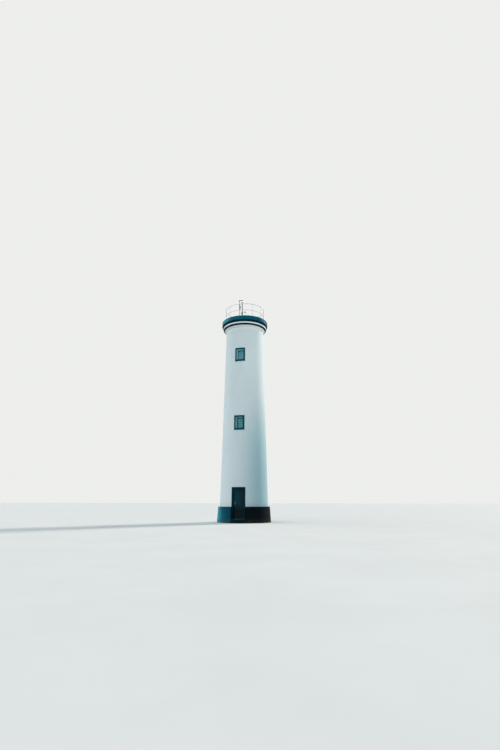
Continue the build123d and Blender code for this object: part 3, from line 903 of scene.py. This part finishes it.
def add_rail_clamps():
    """Barrel on the post and a socket for the rail on each side, at both rails.
    The upper barrels carry a dome."""
    grip = 0.0005
    bore = POST_RADIUS - grip
    barrel = POST_RADIUS + 0.0055
    rim = 0.002
    socket_start, socket_end = 0.018, 0.046
    screw_place = 0.033
    shape = bmesh.new()
    for outward, sideways in post_places():
        for level, rail in ((top_rail_z, top_rail_radius), (mid_rail_z, mid_rail_radius)):
            centre = outward * rail_circle + Vector((0, 0, level))
            half = rail + 0.008
            foot_rim = [(barrel - rim, -half), (barrel, rim - half)]
            if level == top_rail_z:
                dome = high("railing_posts").z - level
                crown = [(barrel * 0.92, dome + 0.004), (barrel * 0.62, dome + 0.009), (0, dome + 0.011)]
                add_turned(shape, [(0, -half)] + foot_rim + [(barrel, dome)] + crown, centre, steps=28)
            else:
                head_rim = [(barrel, half - rim), (barrel - rim, half)]
                ring = [(bore, -half)] + foot_rim + head_rim + [(bore, half)]
                add_turned(shape, ring, centre, steps=28, hollow=True)
            socket = rail + 0.005
            sleeve = (
                (rail - grip, socket_start), (socket, socket_start), (socket, socket_end - 0.002),
                (socket - 0.0015, socket_end), (rail - grip, socket_end),
            )
            for direction in (-sideways, sideways):
                add_turned(shape, sleeve, centre, direction, 24, hollow=True)
                under = centre + direction * screw_place - Vector((0, 0, socket - 0.0006))
                add_screw(shape, under, (0, 0, -1), CLAMP_SCREW)
    new_piece("rail_clamps", shape, "galvanised", "tower")


def add_flange_bolts():
    """Bolts through each post flange."""
    flange_thickness = 0.010
    bolt_circle, bolt_count = 0.0385, 4
    top = low("railing_posts").z + flange_thickness
    shape = bmesh.new()
    for outward, sideways in post_places():
        for i in range(bolt_count):
            turn = pi / 4 + 2 * pi * i / bolt_count
            spot = outward * (rail_circle + bolt_circle * cos(turn)) + sideways * bolt_circle * sin(turn)
            add_bolt(shape, spot + Vector((0, 0, top)), (0, 0, 1), SMALL_BOLT)
    new_piece("rail_flange_bolts", shape, "hardware", "tower")


add_rail_clamps()
add_flange_bolts()


# Lantern mast

post_x = middle("lantern_post").x
side_x = middle("side_post").x
MAST_RADIUS = 0.038
SIDE_RADIUS = 0.021


def add_mast_bolts():
    """Ring of bolts through the flange of each mast post."""
    flange_thickness = 0.012
    top = terrace_level + flange_thickness
    shape = bmesh.new()
    for centre_x, circle, count in ((post_x, 0.078, 6), (side_x, 0.047, 4)):
        for i in range(count):
            turn = 2 * pi * (i + 0.5) / count
            add_bolt(shape, (centre_x + circle * cos(turn), circle * sin(turn), top), (0, 0, 1), LARGE_BOLT)
    new_piece("mast_flange_bolts", shape, "hardware", "tower")


def add_lantern():
    """Small lantern: cast foot, ribbed lens round a finned lamp, tie rods and a domed cap."""
    centre = Vector((post_x, 0, low("lantern").z))
    lens_foot, lens_top = 0.030, 0.130
    ribs, fins, rods = 9, 6, 4
    rod_circle, nut_circle, rod_radius = 0.0438, 0.0465, 0.0026
    foot_profile = (
        (0, 0), (0.0500, 0), (0.0520, 0.0020), (0.0520, 0.0080), (0.0500, 0.0100), (0.0440, 0.0110),
        (0.0405, 0.0150), (0.0400, 0.0260), (0.0450, 0.0290), (0.0450, 0.0320), (0, 0.0320),
    )
    cap_profile = (
        (0, 0.1285), (0.0470, 0.1285), (0.0500, 0.1310), (0.0500, 0.1420), (0.0480, 0.1450), (0.0400, 0.1580),
        (0.0300, 0.1740), (0.0200, 0.1850), (0.0165, 0.1880), (0.0160, 0.2000), (0, 0.2000),
    )

    body = bmesh.new()
    for profile in (foot_profile, cap_profile):
        add_turned(body, profile, centre, steps=48)
    for i in range(rods):
        turn = pi / 4 + 2 * pi * i / rods
        spoke = Vector((cos(turn), sin(turn), 0))
        rod = centre + spoke * rod_circle
        add_tube(body, (rod + Vector((0, 0, 0.012)), rod + Vector((0, 0, 0.135))), rod_radius, 12)
        add_bolt(body, centre + spoke * nut_circle + Vector((0, 0, 0.0095)), (0, 0, 1), ROD_NUT)
    piece = new_piece("lantern_body", body, "lantern_paint", "tower")
    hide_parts("lantern")

    lens = bmesh.new()
    pitch = (lens_top - lens_foot) / ribs
    outer = []
    for i in range(ribs):
        rise = lens_foot + pitch * i
        outer += [(0.0372, rise), (0.0402, rise + pitch * 0.25)]
        outer += [(0.0402, rise + pitch * 0.60), (0.0388, rise + pitch * 0.85)]
    outer.append((0.0372, lens_top))
    inner = [(0.0335, lens_top), (0.0335, lens_foot)]
    add_turned(lens, outer + inner, centre, steps=48, hollow=True)
    piece = new_piece("lantern_lens", lens, "lens", "tower")
    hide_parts("lantern")

    lamp = bmesh.new()
    stem, fin = 0.010, 0.022
    profile = [(0, 0.031)]
    for i in range(fins):
        rise = 0.034 + i * 0.015
        profile += [(stem, rise), (fin, rise + 0.0015), (fin, rise + 0.0045), (stem, rise + 0.006)]
    profile += [(stem, 0.129), (0, 0.129)]
    add_turned(lamp, profile, centre, steps=32)
    new_piece("lantern_lamp", lamp, "hardware", "tower")


def add_bar_fittings():
    """End plugs of the crossbar and the brackets that bolt it to the slim post."""
    bar_low, bar_high = low("mast_crossbar"), high("mast_crossbar")
    wall = 0.002
    plugs = bmesh.new()
    for end, outward in ((bar_low.x, -1), (bar_high.x, 1)):
        near, far = layer(end, outward, -0.001, 0.005)
        lowest = (near, bar_low.y + wall, bar_low.z + wall)
        add_block(plugs, lowest, (far, bar_high.y - wall, bar_high.z - wall), 0.002)
    new_piece("crossbar_plugs", plugs, "gasket", "tower")

    plate_foot = bar_low.z - 0.060
    plate_head = bar_high.z - 0.004
    half_plate = 0.024
    thickness = 0.005
    brackets = bmesh.new()
    for face, outward in ((bar_low.y, -1), (bar_high.y, 1)):
        near, far = layer(face, outward, 0, thickness)
        lowest = (side_x - half_plate, near, plate_foot)
        add_block(brackets, lowest, (side_x + half_plate, far, plate_head), 0.0012)
        for level in (plate_foot + 0.016, bar_low.z + 0.018):
            add_bolt(brackets, (side_x, face + outward * thickness, level), (0, outward, 0), SMALL_BOLT)
    new_piece("crossbar_brackets", brackets, "aged_zinc", "tower")


def add_enclosure(shape, lowest, highest, lip):
    """Enclosure body with a lid on its front that laps over it by the lip, and the lid's four screws."""
    lid_depth, screw_inset = 0.012, 0.014
    lid_back = lowest[1] + lid_depth
    body_low = (lowest[0] + lip, lid_back, lowest[2] + lip)
    body_high = (highest[0] - lip, highest[1], highest[2] - lip)
    add_block(shape, body_low, body_high, 0.006)
    add_block(shape, lowest, (highest[0], lid_back, highest[2]), 0.004)
    for x in (lowest[0] + screw_inset, highest[0] - screw_inset):
        for z in (lowest[2] + screw_inset, highest[2] - screw_inset):
            add_screw(shape, (x, lowest[1], z), (0, -1, 0), LID_SCREW)


def add_clamp_band(shape, centre_x, level, radius, height):
    """Thin band round a mast post, with eased edges."""
    half = height / 2
    bore = radius - 0.0005
    shoulder, face = radius + 0.0025, radius + 0.0035
    ring = (
        (bore, -half), (shoulder, -half), (face, 0.001 - half),
        (face, half - 0.001), (shoulder, half), (bore, half),
    )
    add_turned(shape, ring, (centre_x, 0, level), steps=36, hollow=True)


def add_mast_boxes():
    """Control box beside the slim post, junction box before the stout one and a side box on an arm."""
    control_width, control_depth, control_height = 0.110, 0.110, 0.390
    junction_width, junction_height = 0.120, 0.140
    side_width, side_depth, side_height = 0.150, 0.090, 0.120
    side_rise = 0.140
    arm_radius = 0.013
    box_low, box_high = low("mast_boxes"), high("mast_boxes")
    control_left = side_x + SIDE_RADIUS
    control_low = (control_left, -control_depth / 2, box_high.z - control_height)
    control_high = (control_left + control_width, control_depth / 2, box_high.z)
    junction_low = (post_x - junction_width / 2, box_low.y, box_low.z)
    junction_high = (post_x + junction_width / 2, -MAST_RADIUS, box_low.z + junction_height)
    side_low = (box_high.x - side_width, -side_depth / 2, box_low.z + side_rise)
    side_high = (box_high.x, side_depth / 2, box_low.z + side_rise + side_height)

    for name, finish, lowest, highest, lip in (
        ("control_box", "box_paint", control_low, control_high, 0.004),
        ("junction_box", "box_black", junction_low, junction_high, 0.003),
        ("side_box", "box_pale", side_low, side_high, 0.003),
    ):
        shape = bmesh.new()
        add_enclosure(shape, lowest, highest, lip)
        piece = new_piece(name, shape, finish, "tower")
        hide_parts("mast_boxes")

    arm_z = (side_low[2] + side_high[2]) / 2
    arm_left, arm_right = post_x + MAST_RADIUS - 0.004, side_low[0] + 0.006
    shape = bmesh.new()
    add_tube(shape, ((arm_left, 0, arm_z), (arm_right, 0, arm_z)), arm_radius, 24)
    add_turned(shape, disc(0.024, 0.004), (side_low[0] - 0.0005, 0, arm_z), (-1, 0, 0), 28)
    piece = new_piece("side_arm", shape, "aged_zinc", "tower")
    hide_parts("mast_boxes")

    control_inset, junction_inset = 0.060, 0.030
    bands = bmesh.new()
    for centre_x, radius, level, tall in (
        (side_x, SIDE_RADIUS, control_low[2] + control_inset, 0.018),
        (side_x, SIDE_RADIUS, control_high[2] - control_inset, 0.018),
        (post_x, MAST_RADIUS, junction_low[2] + junction_inset, 0.014),
        (post_x, MAST_RADIUS, junction_high[2] - junction_inset, 0.014),
        (post_x, MAST_RADIUS, arm_z, 0.040),
    ):
        add_clamp_band(bands, centre_x, level, radius, tall)
    new_piece("mast_clamp_bands", bands, "hardware", "tower")


add_mast_bolts()
add_lantern()
add_bar_fittings()
add_mast_boxes()


# Camera at the photo's viewpoint: eye height, distance and lens solved from its horizon and rings
FOCAL_PIXELS = 440
PICTURE_HEIGHT = 750
EYE_DISTANCE = 34.26
EYE_HEIGHT = 1.427
VIEW_SIDE = radians(13.80)
AIM_RIGHT = radians(0.728)
AIM_UP = radians(16.11)
ROLL = radians(0.046)

camera_data = bpy.data.cameras.new("camera")
camera_data.sensor_width = 36.0
camera_data.lens = camera_data.sensor_width * FOCAL_PIXELS / PICTURE_HEIGHT
camera_data.clip_end = 2000.0
camera = add_object("camera", camera_data)
heading = Matrix.Rotation(VIEW_SIDE - AIM_RIGHT, 4, "Z")
tilt = Matrix.Rotation(pi / 2 + AIM_UP, 4, "X")
turned = heading @ tilt @ Matrix.Rotation(ROLL, 4, "Z")
eye = Vector((EYE_DISTANCE * sin(VIEW_SIDE), -EYE_DISTANCE * cos(VIEW_SIDE), EYE_HEIGHT))
camera.matrix_world = Matrix.Translation(eye) @ turned
bpy.context.scene.camera = camera


# Floor, sky and lamps
FLOOR_SIDE = 1200.0
FLOOR_SEEN = (0.60, 0.60, 0.59, 1.0)
FLOOR_LIT = (0.32, 0.33, 0.33, 1.0)
WORLD_LIGHT = 0.50
WORLD_TINT = (0.58, 0.81, 1.0, 1.0)
SKY_COLOUR = (0.85, 0.86, 0.84, 1.0)


def add_floor():
    mesh = bpy.data.meshes.new("floor")
    half = FLOOR_SIDE / 2
    corners = [(-half, -half, 0), (half, -half, 0), (half, half, 0), (-half, half, 0)]
    mesh.from_pydata(corners, [], [(0, 1, 2, 3)])
    floor = add_object("floor", mesh)
    material, tree, shader, at = new_material("floor", 0.9, gloss=0.1)
    rays = add_node(tree, "ShaderNodeLightPath")
    tone = patches(tree, at, 0.4, 0.3, 0.7, 3.0)
    seen = mix_colour(tree, tone, FLOOR_SEEN, shade(FLOOR_SEEN, 0.96))
    colour = mix_colour(tree, rays.outputs["Is Camera Ray"], FLOOR_LIT, seen)
    tree.links.new(colour, shader.inputs["Base Color"])
    mesh.materials.append(material)


def add_world():
    world = bpy.data.worlds.new("sky")
    bpy.context.scene.world = world
    world.use_nodes = True
    tree = world.node_tree
    tree.nodes.clear()
    rays = add_node(tree, "ShaderNodeLightPath")
    direct = maths(tree, "MAXIMUM", rays.outputs["Is Camera Ray"], rays.outputs["Is Glossy Ray"])
    direct = maths(tree, "MAXIMUM", direct, rays.outputs["Is Transmission Ray"])
    light = add_node(tree, "ShaderNodeBackground", {"Color": WORLD_TINT, "Strength": WORLD_LIGHT})
    shown = add_node(tree, "ShaderNodeBackground", {"Color": SKY_COLOUR, "Strength": 1.0})
    blend = add_node(tree, "ShaderNodeMixShader", {0: direct, 1: light.outputs[0], 2: shown.outputs[0]})
    out = add_node(tree, "ShaderNodeOutputWorld")
    tree.links.new(blend.outputs[0], out.inputs["Surface"])


def direction(azimuth, elevation):
    """Unit vector towards a lamp: azimuth 0 stands in front of the door and grows towards +X."""
    turn, rise = radians(azimuth), radians(elevation)
    return Vector((sin(turn) * cos(rise), -cos(turn) * cos(rise), sin(rise)))


def place_lamp(data, place, towards):
    lamp = add_object(data.name, data)
    lamp.rotation_mode = "QUATERNION"
    lamp.rotation_quaternion = towards.to_track_quat("Z", "Y")
    lamp.location = place
    return lamp


def add_sun(name, strength, softness, azimuth, elevation, colour):
    data = bpy.data.lights.new(name, "SUN")
    data.energy = strength
    data.angle = radians(softness)
    data.color = colour
    towards = direction(azimuth, elevation)
    place_lamp(data, towards * 60.0, towards)


def add_upper_fill(power, azimuth, height, aim_height):
    """Wide soft spot on the upper storeys only, far out on the right."""
    data = bpy.data.lights.new("upper_fill", "SPOT")
    data.energy = power
    data.spot_size = radians(26)
    data.spot_blend = 1.0
    data.shadow_soft_size = 4.0
    data.color = (1.0, 0.97, 0.88)
    place = direction(azimuth, 0) * 40.0 + Vector((0, 0, height))
    lamp = place_lamp(data, place, (place - Vector((0, 0, aim_height))).normalized())
    lamp.visible_camera = False
    lamp.visible_glossy = False


add_floor()
add_world()
add_sun("key_lamp", 2.4, 110, -58, 33, (1.0, 0.98, 0.91))
add_sun("rim_lamp", 2.9, 11, 142, 32, (1.0, 0.94, 0.84))
add_upper_fill(23500, 68, 14.0, 13.0)
bpy.context.scene.view_settings.view_transform = "Standard"
